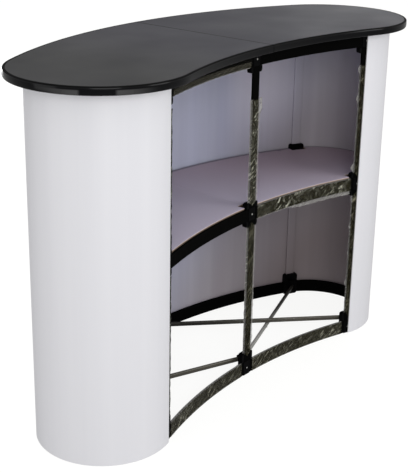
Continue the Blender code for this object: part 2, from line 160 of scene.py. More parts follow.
# %% Group: smudges that change the gloss
smudges, ins, outs = make_group(
    "smudges",
    [("Place", "Vector", None), ("Scale", "Float", 6.0), ("Low", "Float", 0.3), ("High", "Float", 0.5)],
    [("Mask", "Float"), ("Roughness", "Float")],
)
cloud = add_node(
    smudges, "ShaderNodeTexNoise", None,
    Vector=ins.outputs["Place"], Scale=ins.outputs["Scale"], Detail=2.0, Roughness=0.5,
)
spread = add_node(
    smudges, "ShaderNodeMapRange", None,
    **{"Value": cloud.outputs["Fac"], "From Min": 0.28, "From Max": 0.72,
       "To Min": ins.outputs["Low"], "To Max": ins.outputs["High"]},
)
smudges.links.new(cloud.outputs["Fac"], outs.inputs["Mask"])
smudges.links.new(spread.outputs["Result"], outs.inputs["Roughness"])
print("group:", smudges.name)

# %% Group: upright streaks
streaks, ins, outs = make_group(
    "upright_streaks",
    [("Place", "Vector", None), ("Across", "Float", 26.0), ("Along", "Float", 0.7)],
    [("Mask", "Float")],
)
stretch = add_node(streaks, "ShaderNodeCombineXYZ", None,
                   X=ins.outputs["Across"], Y=ins.outputs["Across"], Z=ins.outputs["Along"])
scaled = add_node(streaks, "ShaderNodeVectorMath", {"operation": "MULTIPLY"},
                  i0=ins.outputs["Place"], i1=stretch.outputs["Vector"])
band = add_node(streaks, "ShaderNodeTexNoise", None, Vector=scaled.outputs["Vector"], Scale=1.0,
                Detail=4.0, Roughness=0.55)
clear = add_node(streaks, "ShaderNodeMapRange", {"interpolation_type": "SMOOTHSTEP"},
                 **{"Value": band.outputs["Fac"], "From Min": 0.32, "From Max": 0.68})
streaks.links.new(clear.outputs["Result"], outs.inputs["Mask"])
print("group:", streaks.name)

# %% Group: thin scratches
scratches, ins, outs = make_group(
    "thin_scratches",
    [("Place", "Vector", None), ("Turn", "Float", 0.6), ("Along", "Float", 16.0), ("Across", "Float", 700.0),
     ("Amount", "Float", 0.5)],
    [("Mask", "Float")],
)
turned = add_node(scratches, "ShaderNodeVectorRotate", {"rotation_type": "Z_AXIS"},
                  Vector=ins.outputs["Place"], Angle=ins.outputs["Turn"])
stretch = add_node(scratches, "ShaderNodeCombineXYZ", None,
                   X=ins.outputs["Along"], Y=ins.outputs["Across"], Z=ins.outputs["Across"])
scaled = add_node(scratches, "ShaderNodeVectorMath", {"operation": "MULTIPLY"},
                  i0=turned.outputs["Vector"], i1=stretch.outputs["Vector"])
lines = add_node(scratches, "ShaderNodeTexNoise", None, Vector=scaled.outputs["Vector"], Scale=1.0, Detail=0.0)
hair = add_node(scratches, "ShaderNodeMapRange", None,
                **{"Value": lines.outputs["Fac"], "From Min": 0.72, "From Max": 0.8})
patches = add_node(scratches, "ShaderNodeTexNoise", None, Vector=ins.outputs["Place"], Scale=9.0, Detail=2.0)
there = add_node(scratches, "ShaderNodeMapRange", None,
                 **{"Value": patches.outputs["Fac"], "From Min": 0.45, "From Max": 0.65})
both = add_node(scratches, "ShaderNodeMath", {"operation": "MULTIPLY"},
                i0=hair.outputs["Result"], i1=there.outputs["Result"])
scaled = add_node(scratches, "ShaderNodeMath", {"operation": "MULTIPLY"},
                  i0=both.outputs["Value"], i1=ins.outputs["Amount"])
scratches.links.new(scaled.outputs["Value"], outs.inputs["Mask"])
print("group:", scratches.name)

# %% Group: creases of thin film
creases, ins, outs = make_group(
    "film_creases",
    [("Place", "Vector", None), ("Along", "Float", 26.0), ("Across", "Float", 150.0), ("Turn", "Float", 0.6),
     ("Depth", "Float", 0.002)],
    [("Streaks", "Float"), ("Normal", "Vector")],
)
turned = add_node(creases, "ShaderNodeVectorRotate", {"rotation_type": "Y_AXIS"},
                  Vector=ins.outputs["Place"], Angle=ins.outputs["Turn"])
stretch = add_node(creases, "ShaderNodeCombineXYZ", None,
                   X=ins.outputs["Along"], Y=ins.outputs["Along"], Z=ins.outputs["Across"])
scaled = add_node(creases, "ShaderNodeVectorMath", {"operation": "MULTIPLY"},
                  i0=turned.outputs["Vector"], i1=stretch.outputs["Vector"])
fold = add_node(creases, "ShaderNodeTexNoise", None, Vector=scaled.outputs["Vector"], Scale=1.0,
                Detail=3.0, Roughness=0.6, Distortion=1.2)
line = add_node(creases, "ShaderNodeMapRange", {"interpolation_type": "SMOOTHSTEP"},
                **{"Value": fold.outputs["Fac"], "From Min": 0.52, "From Max": 0.68})
bump = add_node(creases, "ShaderNodeBump", None, Strength=0.7, Distance=ins.outputs["Depth"],
                Height=fold.outputs["Fac"])
creases.links.new(line.outputs["Result"], outs.inputs["Streaks"])
creases.links.new(bump.outputs["Normal"], outs.inputs["Normal"])
print("group:", creases.name)

# %% [markdown]
# ## The plan of the counter
# The top is a kidney of four arcs that touch each other without a corner: a concave arc on the staff side,
# two round ends and an outer arc. All the curved pieces follow the same four centres, drawn in by their own
# distance from the edge, so the centres are worked out once.

# %% Plan values
CONCAVE_RADIUS = 1.280
OUTER_RADIUS = 1.2825
END_RADIUS = 0.2225
WIDTH_MIDDLE = 0.4805
top_low, top_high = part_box("top_edge_right")
board_low_z, board_high_z = top_low.z, top_high.z
concave_centre = Vector((0, top_high.y - WIDTH_MIDDLE - CONCAVE_RADIUS))
outer_centre = Vector((0, top_high.y - OUTER_RADIUS))
end_x = top_high.x - END_RADIUS
end_y = top_low.y + END_RADIUS
end_centres = {"left": Vector((-end_x, end_y)), "right": Vector((end_x, end_y))}
back_angle = math.atan2(end_x, end_y - concave_centre.y)
front_angle = math.atan2(end_x, end_y - outer_centre.y)
SIDES = {"left": -1, "right": 1}
print("arcs meet at", round(math.degrees(back_angle), 1), "and", round(math.degrees(front_angle), 1), "degrees")


def at(centre, radius, angle):
    """A plan point at an angle from +Y, turning towards +X."""
    return centre + Vector((radius * math.sin(angle), radius * math.cos(angle)))


def spread_over(first, last, steps):
    """Evenly spaced values."""
    return [first + (last - first) * i / steps for i in range(steps + 1)]


ARC_STEPS, ROUND_STEPS = 36, 90


def half_outline(inset, side, seam_x):
    """Half of the kidney, drawn in by inset, from the seam's staff end to its front end."""
    points = [at(concave_centre, CONCAVE_RADIUS + inset, a) for a in spread_over(0, back_angle, ARC_STEPS)]
    points += [at(end_centres["right"], END_RADIUS - inset, a)
               for a in spread_over(math.pi + back_angle, front_angle, ROUND_STEPS)[1:]]
    points += [at(outer_centre, OUTER_RADIUS - inset, a) for a in spread_over(front_angle, 0, ARC_STEPS)[1:]]
    points[0].x = points[-1].x = seam_x
    return [Vector((side * p.x, p.y)) for p in points]


# %% [markdown]
# ## The finishes
# Each finish is one function, named for what it is on the counter. Colours are linear values that were
# judged against the photograph under the studio light below.

# %% Finish: moulded black plastic of the hubs


def plain_finish(name, colour, dark, low, high, grain_scale, grain_depth, specular=0.5, metallic=0.0):
    """Grain, smudges and a slight change of tone, for plastics and coatings."""
    material, tree, shader, place = new_material(name)
    grain = use_group(tree, fine_grain, Place=place, Scale=grain_scale, Strength=0.5, Depth=grain_depth)
    smear = use_group(tree, smudges, Place=place, Scale=9.0, Low=low, High=high)
    tone = add_node(tree, "ShaderNodeMix", {"data_type": "RGBA"})
    tree.links.new(smear.outputs["Mask"], tone.inputs["Factor"])
    tone.inputs[6].default_value = (*dark, 1)
    tone.inputs[7].default_value = (*colour, 1)
    tree.links.new(tone.outputs[2], shader.inputs["Base Color"])
    tree.links.new(smear.outputs["Roughness"], shader.inputs["Roughness"])
    tree.links.new(grain.outputs["Normal"], shader.inputs["Normal"])
    shader.inputs["Specular IOR Level"].default_value = specular
    shader.inputs["Metallic"].default_value = metallic
    return material


hub_plastic = plain_finish("hub_plastic", (0.0020, 0.0020, 0.0023), (0.0012, 0.0012, 0.0013), 0.42, 0.58,
                           1400.0, 0.0002, specular=0.03)
rivet_grey = plain_finish("rivet_grey", (0.40, 0.40, 0.38), (0.28, 0.28, 0.26), 0.3, 0.5, 900.0, 0.0001)
peg_steel = plain_finish("peg_steel", (0.42, 0.42, 0.41), (0.30, 0.30, 0.29), 0.22, 0.38, 1200.0, 0.0001,
                         metallic=1.0)
print("finishes:", hub_plastic.name, rivet_grey.name, peg_steel.name)

# %% [markdown]
# The flat bars are coated matt black. Where nothing covers them they show almost no detail, only a soft
# line of light on the edge.

# %% Finish: coated bars
bar_coat = plain_finish("bar_coat", (0.0015, 0.0015, 0.0014), (0.0009, 0.0009, 0.0008), 0.55, 0.65,
                        1100.0, 0.00015, specular=0.015)
print("finish:", bar_coat.name)

# %% [markdown]
# The struts are a dark satin metal with fine lines drawn along them and a few scratches down to brighter
# metal. Scratches are a mask from a group, which mixes a light colour in and lowers the roughness. Painted
# shade blackens the struts towards the front, deep in the counter, and a painted highlight pales the staff
# end of the lower struts.

# %% Finish: strut metal
# Where painted shade blackens the struts towards the front, inside the counter.
STRUT_SHADE_FROM, STRUT_SHADE_TO = -0.12, 0.14
# Where a painted highlight pales the staff end of the lower struts.
STRUT_HIGHLIGHT_FROM, STRUT_HIGHLIGHT_TO = -0.07, 0.03


def strut_finish(name, highlight_end=0.0):
    """Drawn dark metal with light scratches, painted shade blackening it towards the front, and a painted highlight
    paling the staff end.
    """
    material, tree, shader, place = new_material(name)
    smear = use_group(tree, smudges, Place=place, Scale=14.0, Low=0.28, High=0.5)
    marks = use_group(tree, scratches, Place=place, Turn=1.0, Along=30.0, Across=900.0, Amount=0.8)
    grain = use_group(tree, fine_grain, Place=place, Scale=1600.0, Strength=0.4, Depth=0.0001)
    tone = add_node(tree, "ShaderNodeMix", {"data_type": "RGBA"}, i0=smear.outputs["Mask"],
                    i6=(0.075, 0.070, 0.058, 1), i7=(0.17, 0.16, 0.135, 1))
    worn = add_node(tree, "ShaderNodeMix", {"data_type": "RGBA"}, i0=marks.outputs["Mask"],
                    i6=tone.outputs[2], i7=(0.5, 0.5, 0.47, 1))
    depth = add_node(tree, "ShaderNodeSeparateXYZ", None, Vector=place).outputs["Y"]
    # Painted highlight: pale grey is mixed in at the staff end.
    pale = add_node(tree, "ShaderNodeMapRange", {"interpolation_type": "SMOOTHSTEP"},
                    **{"Value": depth, "From Min": STRUT_HIGHLIGHT_FROM, "From Max": STRUT_HIGHLIGHT_TO, "To Min": highlight_end,
                       "To Max": 0.0})
    worn = add_node(tree, "ShaderNodeMix", {"data_type": "RGBA"}, i0=pale.outputs["Result"],
                    i6=worn.outputs[2], i7=(0.62, 0.62, 0.58, 1))
    # Painted shade: black is mixed in towards the front, inside the counter.
    black = add_node(tree, "ShaderNodeMapRange", {"interpolation_type": "SMOOTHSTEP"},
                     **{"Value": depth, "From Min": STRUT_SHADE_FROM, "From Max": STRUT_SHADE_TO, "To Max": 0.85})
    worn = add_node(tree, "ShaderNodeMix", {"data_type": "RGBA"}, i0=black.outputs["Result"],
                    i6=worn.outputs[2], i7=(0.006, 0.006, 0.005, 1))
    tree.links.new(worn.outputs[2], shader.inputs["Base Color"])
    tree.links.new(smear.outputs["Roughness"], shader.inputs["Roughness"])
    tree.links.new(grain.outputs["Normal"], shader.inputs["Normal"])
    shader.inputs["Specular IOR Level"].default_value = 0.2
    shader.inputs["Metallic"].default_value = 0.4
    return material


strut_metal = strut_finish("strut_metal_finish")
strut_highlit = strut_finish("strut_highlit_finish", highlight_end=0.85)
print("finishes:", strut_metal.name, strut_highlit.name)

# %% [markdown]
# The top is a dark grey laminate with a silky face. It has a very fine pebble, so that lights spread softly
# over it, and the smudges and hair scratches that any counter top collects. A dark top shows these mostly
# as changes of gloss. Its colour carries painted light, lighter and bluer towards the right end, and a thin
# line of painted shade along the seam.

# %% Finish: laminate of the top
# Painted shade along the seam, by distance from it.
SEAM_SHADE_FROM, SEAM_SHADE_TO = 0.0014, 0.0040
# Painted light: the top turns lighter and bluer towards the right end.
LIT_SIDE_FROM, LIT_SIDE_TO = -0.55, -0.05


def top_finish():
    """Dark grey laminate, with painted light towards the right and painted shade along the seam."""
    material, tree, shader, place = new_material("top_laminate_finish")
    smear = use_group(tree, smudges, Place=place, Scale=5.0, Low=0.50, High=0.60)
    pebble = use_group(tree, fine_grain, Place=place, Scale=520.0, Strength=0.25, Depth=0.00025)
    marks = use_group(tree, scratches, Place=place, Turn=0.5, Along=14.0, Across=900.0, Amount=0.18)
    sideways = add_node(tree, "ShaderNodeSeparateXYZ", None, Vector=place).outputs["X"]
    plain = add_node(tree, "ShaderNodeMix", {"data_type": "RGBA"}, i0=pebble.outputs["Mask"],
                     i6=(0.0165, 0.0165, 0.0175, 1), i7=(0.0265, 0.0265, 0.0275, 1))
    bluish = add_node(tree, "ShaderNodeMix", {"data_type": "RGBA"}, i0=pebble.outputs["Mask"],
                      i6=(0.0255, 0.0245, 0.0335, 1), i7=(0.0405, 0.0395, 0.0525, 1))
    # Painted light: the darker grey at the left gives way to the lighter bluish grey at the right.
    lit_side = add_node(tree, "ShaderNodeMapRange", {"interpolation_type": "SMOOTHSTEP"},
                    **{"Value": sideways, "From Min": LIT_SIDE_FROM, "From Max": LIT_SIDE_TO})
    tone = add_node(tree, "ShaderNodeMix", {"data_type": "RGBA"}, i0=lit_side.outputs["Result"],
                    i6=plain.outputs[2], i7=bluish.outputs[2])
    worn = add_node(tree, "ShaderNodeMix", {"data_type": "RGBA"}, i0=marks.outputs["Mask"],
                    i6=tone.outputs[2], i7=(0.13, 0.13, 0.135, 1))
    # Painted shade: the laminate is darkened in a thin line beside the seam.
    from_seam = add_node(tree, "ShaderNodeMath", {"operation": "ABSOLUTE"}, i0=sideways)
    seam_shade = add_node(tree, "ShaderNodeMapRange", {"interpolation_type": "SMOOTHSTEP"},
                     **{"Value": from_seam.outputs["Value"], "From Min": SEAM_SHADE_FROM, "From Max": SEAM_SHADE_TO,
                        "To Min": 0.75, "To Max": 0.0})
    worn = add_node(tree, "ShaderNodeMix", {"data_type": "RGBA"}, i0=seam_shade.outputs["Result"],
                    i6=worn.outputs[2], i7=(0.008, 0.008, 0.008, 1))
    tree.links.new(worn.outputs[2], shader.inputs["Base Color"])
    tree.links.new(smear.outputs["Roughness"], shader.inputs["Roughness"])
    tree.links.new(pebble.outputs["Normal"], shader.inputs["Normal"])
    shader.inputs["Specular IOR Level"].default_value = 0.25
    return material


top_laminate = top_finish()
top_backing = plain_finish("top_backing", (0.075, 0.073, 0.072), (0.055, 0.053, 0.052), 0.55, 0.75,
                           700.0, 0.0004)
edge_lip = plain_finish("edge_lip", (0.004, 0.004, 0.004), (0.003, 0.003, 0.003), 0.60, 0.75,
                        500.0, 0.00010, specular=0.03)
print("finishes:", top_laminate.name, top_backing.name, edge_lip.name)

# %% [markdown]
# The side of the edge band is glossy black. Low down, where the left end faces the staff, two grey patches
# with a clean stretch between them are a painted reflection of the bright floor, and the gloss is duller
# there. The mask for them comes from the distance to the middle of that stretch, and from the height of
# the point.

# %% Finish: glossy side of the edge band
# Where the painted reflection lies on the band: its height, the middle of the clean stretch and its reach.
REFLECTION_TOP, REFLECTION_FOOT = 0.9440, 0.9410
REFLECTION_GAP_MIDDLE = (-0.6387, -0.2080, 0.9380)
REFLECTION_NEAR, REFLECTION_FAR = 0.036, 0.150


def edge_finish():
    """Glossy black with painted reflection patches low down."""
    material, tree, shader, place = new_material("edge_gloss")
    grain = use_group(tree, fine_grain, Place=place, Scale=500.0, Strength=0.4, Depth=0.00002)
    smear = use_group(tree, smudges, Place=place, Scale=11.0, Low=0.65, High=1.0)
    away = add_node(tree, "ShaderNodeVectorMath", {"operation": "DISTANCE"}, i0=place, i1=REFLECTION_GAP_MIDDLE)
    starts = add_node(tree, "ShaderNodeMapRange", {"interpolation_type": "SMOOTHSTEP"},
                      **{"Value": away.outputs["Value"], "From Min": REFLECTION_NEAR, "From Max": REFLECTION_NEAR * 1.25})
    fades = add_node(tree, "ShaderNodeMapRange", {"interpolation_type": "SMOOTHSTEP"},
                     **{"Value": away.outputs["Value"], "From Min": REFLECTION_NEAR, "From Max": REFLECTION_FAR,
                        "To Min": 1.0, "To Max": 0.0})
    height = add_node(tree, "ShaderNodeSeparateXYZ", None, Vector=place).outputs["Z"]
    painted_reflection = add_node(tree, "ShaderNodeMapRange", {"interpolation_type": "SMOOTHSTEP"},
                     **{"Value": height, "From Min": REFLECTION_FOOT, "From Max": REFLECTION_TOP,
                        "To Min": 1.0, "To Max": 0.0}).outputs["Result"]
    for mask in (starts.outputs["Result"], fades.outputs["Result"], smear.outputs["Roughness"]):
        painted_reflection = add_node(tree, "ShaderNodeMath", {"operation": "MULTIPLY"}, i0=painted_reflection, i1=mask).outputs["Value"]
    # Painted reflection: grey is mixed into the black where the mask is.
    tone = add_node(tree, "ShaderNodeMix", {"data_type": "RGBA"}, i0=painted_reflection,
                    i6=(0.0025, 0.0025, 0.003, 1), i7=(0.075, 0.075, 0.075, 1))
    dull = add_node(tree, "ShaderNodeMapRange", None, **{"Value": painted_reflection, "To Min": 0.14, "To Max": 0.36})
    tree.links.new(tone.outputs[2], shader.inputs["Base Color"])
    tree.links.new(dull.outputs["Result"], shader.inputs["Roughness"])
    tree.links.new(grain.outputs["Normal"], shader.inputs["Normal"])
    shader.inputs["Specular IOR Level"].default_value = 0.14
    return material


edge_gloss = edge_finish()
print("finish:", edge_gloss.name)

# %% [markdown]
# The panels are thin white sheets that travel rolled up. Outside they are clean, with a faint lavender cast
# and soft upright waves in the gloss. Inside they are grey with clear upright streaks, bluish at one end;
# painted shade makes them browner and darker towards the other end and lower down, and a painted
# highlight lies near that end, high up.

# %% Finish: panels, outside and inside


def panel_outside_finish():
    """White sheet with faint upright waves."""
    material, tree, shader, place = new_material("panel_white")
    waves = use_group(tree, streaks, Place=place, Across=14.0, Along=0.35)
    smear = use_group(tree, smudges, Place=place, Scale=4.0, Low=0.42, High=0.55)
    grain = use_group(tree, fine_grain, Place=place, Scale=800.0, Strength=0.2, Depth=0.00015)
    tone = add_node(tree, "ShaderNodeMix", {"data_type": "RGBA"}, i0=waves.outputs["Mask"],
                    i6=(0.797, 0.794, 0.830, 1), i7=(0.822, 0.819, 0.853, 1))
    tree.links.new(tone.outputs[2], shader.inputs["Base Color"])
    tree.links.new(smear.outputs["Roughness"], shader.inputs["Roughness"])
    tree.links.new(grain.outputs["Normal"], shader.inputs["Normal"])
    return material


# Painted shade on the liner: where it begins, where it is deepest, and how it leans with height.
LINER_SHADE_FROM, LINER_SHADE_TO = 0.28, 0.72
LINER_DEEP_SHADE_FROM, LINER_DEEP_SHADE_TO = 0.70, 0.96
LINER_SHADE_LEAN = 0.65
LINER_SHADE_HEIGHT = 0.68
# A painted highlight on the liner near the right end: its middle, shape and reach.
LINER_HIGHLIGHT_MIDDLE = (0.445, 0.147, 0.760)
LINER_HIGHLIGHT_SHAPE = (1.0, 1.0, 0.6)
LINER_HIGHLIGHT_REACH = 0.19


def panel_inside_finish():
    """Grey liner with upright streaks, bluish to the left, with painted shade to the right and low down, and a painted
    highlight.
    """
    material, tree, shader, place = new_material("panel_liner")
    waves = use_group(tree, streaks, Place=place, Across=9.0, Along=0.45)
    fine_waves = use_group(tree, streaks, Place=place, Across=30.0, Along=0.5)
    smear = use_group(tree, smudges, Place=place, Scale=3.0, Low=0.4, High=0.6)
    axes = add_node(tree, "ShaderNodeSeparateXYZ", None, Vector=place)
    low_down = add_node(tree, "ShaderNodeMath", {"operation": "SUBTRACT"}, i0=LINER_SHADE_HEIGHT, i1=axes.outputs["Z"])
    across = add_node(tree, "ShaderNodeMath", {"operation": "MULTIPLY_ADD"}, i0=low_down.outputs["Value"],
                      i1=LINER_SHADE_LEAN, i2=axes.outputs["X"])
    # Painted shade: the lit bluish grey gives way to a shaded brown grey, and then to a deeper shade.
    shaded_side = add_node(tree, "ShaderNodeMapRange", {"interpolation_type": "SMOOTHSTEP"},
                    **{"Value": across.outputs["Value"], "From Min": LINER_SHADE_FROM, "From Max": LINER_SHADE_TO})
    lit_tone = add_node(tree, "ShaderNodeMix", {"data_type": "RGBA"}, i0=waves.outputs["Mask"],
                    i6=(0.460, 0.475, 0.615, 1), i7=(0.510, 0.525, 0.645, 1))
    shaded_tone = add_node(tree, "ShaderNodeMix", {"data_type": "RGBA"}, i0=waves.outputs["Mask"],
                     i6=(0.345, 0.312, 0.342, 1), i7=(0.385, 0.354, 0.386, 1))
    tone = add_node(tree, "ShaderNodeMix", {"data_type": "RGBA"}, i0=shaded_side.outputs["Result"],
                    i6=lit_tone.outputs[2], i7=shaded_tone.outputs[2])
    deep_shade = add_node(tree, "ShaderNodeMapRange", {"interpolation_type": "SMOOTHSTEP"},
                    **{"Value": across.outputs["Value"], "From Min": LINER_DEEP_SHADE_FROM, "From Max": LINER_DEEP_SHADE_TO})
    tone = add_node(tree, "ShaderNodeMix", {"data_type": "RGBA"}, i0=deep_shade.outputs["Result"],
                    i6=tone.outputs[2], i7=(0.245, 0.205, 0.210, 1))
    # Painted highlight: a pale patch round one point of the liner.
    away = add_node(tree, "ShaderNodeVectorMath", {"operation": "SUBTRACT"}, i0=place, i1=LINER_HIGHLIGHT_MIDDLE)
    away = add_node(tree, "ShaderNodeVectorMath", {"operation": "MULTIPLY"}, i0=away.outputs["Vector"],
                    i1=LINER_HIGHLIGHT_SHAPE)
    away = add_node(tree, "ShaderNodeVectorMath", {"operation": "LENGTH"}, i0=away.outputs["Vector"])
    painted_highlight = add_node(tree, "ShaderNodeMapRange", {"interpolation_type": "SMOOTHSTEP"},
                     **{"Value": away.outputs["Value"], "From Min": 0.0, "From Max": LINER_HIGHLIGHT_REACH,
                        "To Min": 0.9, "To Max": 0.0})
    tone = add_node(tree, "ShaderNodeMix", {"data_type": "RGBA"}, i0=painted_highlight.outputs["Result"],
                    i6=tone.outputs[2], i7=(0.79, 0.76, 0.87, 1))
    fine = add_node(tree, "ShaderNodeMapRange", None,
                    **{"Value": fine_waves.outputs["Mask"], "To Min": 0.97, "To Max": 1.02})
    shade = add_node(tree, "ShaderNodeVectorMath", {"operation": "SCALE"}, i0=tone.outputs[2],
                     Scale=fine.outputs["Result"])
    tree.links.new(shade.outputs["Vector"], shader.inputs["Base Color"])
    tree.links.new(smear.outputs["Roughness"], shader.inputs["Roughness"])
    return material


panel_white = panel_outside_finish()
panel_liner = panel_inside_finish()
panel_cut = plain_finish("panel_cut", (0.92, 0.91, 0.90), (0.84, 0.83, 0.82), 0.5, 0.7, 900.0, 0.0003)
magnet_tape = plain_finish("magnet_tape", (0.030, 0.022, 0.018), (0.018, 0.013, 0.011), 0.6, 0.8, 600.0, 0.0004)
print("finishes:", panel_white.name, panel_liner.name, magnet_tape.name)

# %% [markdown]
# The shelf is a tan board with mauve grey laminate on both faces, and its cut edge is left bare. The solid
# has one mesh, so the finish itself tells faces from edges by the direction that the surface looks in. A
# thin dark line at the top and bottom of the edge is the laminate seen from the side. Painted shade darkens
# the laminate from pale mauve near the staff edge to plum towards the front right, a painted shadow lines
# its rim where it meets the panels, and painted shade darkens the lower part of the cut edge.

# %% Finish: shelf
shelf_low, shelf_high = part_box("shelf_left")
LAMINATE_LAYER = 0.0008
# Painted shade on the shelf, deeper towards the front right.
SHELF_SHADE_FROM, SHELF_SHADE_TO = -0.225, 0.575
SHELF_SHADE_LEAN = 1.5
# Width of the painted shadow along the rim where the shelf meets the panels.
SHADOW_EDGE_WIDTH = 0.016
# Depths below the top face where painted shade darkens the cut edge.
EDGE_SHADE_FROM, EDGE_SHADE_TO = 0.0040, 0.0020
shelf_points = [Vector((abs(point.co.x), point.co.y)) for point in nodes["shelf_left"].data.vertices]
outer_reach = max((point - outer_centre).length for point in shelf_points)
end_reach = max((point - end_centres["right"]).length for point in shelf_points if point.x > end_x)


def shelf_finish():
    """Mauve laminate on the faces and bare tan board on the edges, with painted shade and a painted shadow at the rim.
    """
    material, tree, shader, place = new_material("shelf_finish")
    smear = use_group(tree, smudges, Place=place, Scale=3.5, Low=0.40, High=0.55)
    marks = use_group(tree, scratches, Place=place, Turn=1.1, Along=12.0, Across=800.0, Amount=0.2)
    chips = use_group(tree, fine_grain, Place=place, Scale=420.0, Strength=0.6, Depth=0.0006)
    axes = add_node(tree, "ShaderNodeSeparateXYZ", None, Vector=place)
    across = add_node(tree, "ShaderNodeMath", {"operation": "MULTIPLY_ADD"}, i0=axes.outputs["Y"],
                      i1=SHELF_SHADE_LEAN, i2=axes.outputs["X"])
    # Painted shade: pale mauve near the staff edge gives way to plum towards the front right.
    shelf_shade = add_node(tree, "ShaderNodeMapRange", {"interpolation_type": "SMOOTHSTEP"},
                      **{"Value": across.outputs["Value"], "From Min": SHELF_SHADE_FROM, "From Max": SHELF_SHADE_TO})
    pale = add_node(tree, "ShaderNodeMix", {"data_type": "RGBA"}, i0=smear.outputs["Mask"],
                    i6=(0.625, 0.565, 0.690, 1), i7=(0.675, 0.615, 0.740, 1))
    shaded_plum = add_node(tree, "ShaderNodeMix", {"data_type": "RGBA"}, i0=smear.outputs["Mask"],
                    i6=(0.430, 0.330, 0.385, 1), i7=(0.465, 0.360, 0.420, 1))
    mauve = add_node(tree, "ShaderNodeMix", {"data_type": "RGBA"}, i0=shelf_shade.outputs["Result"],
                     i6=pale.outputs[2], i7=shaded_plum.outputs[2])
    mauve = add_node(tree, "ShaderNodeMix", {"data_type": "RGBA"}, i0=marks.outputs["Mask"],
                     i6=mauve.outputs[2], i7=(0.56, 0.51, 0.57, 1))
    aside = add_node(tree, "ShaderNodeMath", {"operation": "ABSOLUTE"}, i0=axes.outputs["X"]).outputs["Value"]
    spot = add_node(tree, "ShaderNodeCombineXYZ", None, X=aside, Y=axes.outputs["Y"]).outputs["Vector"]
    # Painted shadow: a dark line along the outer rim, where the shelf meets the panels.
    shadow_rims = []
    for centre, reach in ((outer_centre, outer_reach), (end_centres["right"], end_reach)):
        away = add_node(tree, "ShaderNodeVectorMath", {"operation": "DISTANCE"}, i0=spot, i1=(*centre, 0))
        shadow_rims.append(add_node(tree, "ShaderNodeMapRange", {"interpolation_type": "SMOOTHSTEP"},
                             **{"Value": away.outputs["Value"], "From Min": reach - SHADOW_EDGE_WIDTH,
                                "From Max": reach - SHADOW_EDGE_WIDTH / 4, "To Max": 0.75}).outputs["Result"])
    at_end = add_node(tree, "ShaderNodeMath", {"operation": "GREATER_THAN"}, i0=aside, i1=end_x)
    at_end = add_node(tree, "ShaderNodeMath", {"operation": "MULTIPLY"}, i0=at_end.outputs["Value"], i1=shadow_rims[1])
    rim_shadow = add_node(tree, "ShaderNodeMath", {"operation": "MAXIMUM"}, i0=at_end.outputs["Value"], i1=shadow_rims[0])
    mauve = add_node(tree, "ShaderNodeMix", {"data_type": "RGBA"}, i0=rim_shadow.outputs["Value"],
                     i6=mauve.outputs[2], i7=(0.105, 0.095, 0.135, 1))
    tan = add_node(tree, "ShaderNodeMix", {"data_type": "RGBA"}, i0=chips.outputs["Mask"],
                   i6=(0.38, 0.275, 0.210, 1), i7=(0.62, 0.500, 0.420, 1))
    # Painted shade: the lower part of the tan edge is mixed towards dark brown.
    edge_foot_shade = add_node(tree, "ShaderNodeMapRange", {"interpolation_type": "SMOOTHSTEP"},
                      **{"Value": axes.outputs["Z"], "From Min": shelf_high.z - EDGE_SHADE_FROM,
                         "From Max": shelf_high.z - EDGE_SHADE_TO, "To Min": 0.85, "To Max": 0.0})
    tan = add_node(tree, "ShaderNodeMix", {"data_type": "RGBA"}, i0=edge_foot_shade.outputs["Result"],
                   i6=tan.outputs[2], i7=(0.070, 0.042, 0.026, 1))
    normal = add_node(tree, "ShaderNodeNewGeometry", None).outputs["True Normal"]
    up = add_node(tree, "ShaderNodeSeparateXYZ", None, Vector=normal).outputs["Z"]
    flat = add_node(tree, "ShaderNodeMath", {"operation": "ABSOLUTE"}, i0=up)
    under_top = add_node(tree, "ShaderNodeMath", {"operation": "GREATER_THAN"}, i0=axes.outputs["Z"],
                         i1=shelf_high.z - LAMINATE_LAYER)
    over_foot = add_node(tree, "ShaderNodeMath", {"operation": "LESS_THAN"}, i0=axes.outputs["Z"],
                         i1=shelf_low.z + LAMINATE_LAYER)
    layer = add_node(tree, "ShaderNodeMath", {"operation": "ADD"}, i0=under_top.outputs["Value"],
                     i1=over_foot.outputs["Value"])
    face = add_node(tree, "ShaderNodeMath", {"operation": "ADD", "use_clamp": True},
                    i0=flat.outputs["Value"], i1=layer.outputs["Value"])
    tone = add_node(tree, "ShaderNodeMix", {"data_type": "RGBA"}, i0=face.outputs["Value"],
                    i6=tan.outputs[2], i7=mauve.outputs[2])
    tree.links.new(tone.outputs[2], shader.inputs["Base Color"])
    tree.links.new(smear.outputs["Roughness"], shader.inputs["Roughness"])
    return material


shelf_laminate = shelf_finish()
print("finish:", shelf_laminate.name)

# %% [markdown]
# Several bars still wear the thin clear film that they came in. Film is mostly seen by its creases: pale
# streaks where it folds, and almost nothing between them. So the mask of the creases drives both its
# colour and how much it covers.

# %% Finish: protective film


# Painted shadow under the edge of the top: how far below the bar's top it starts, and its soft fade.
TOP_SHADOW_BAND, TOP_SHADOW_FADE = 0.0205, 0.002


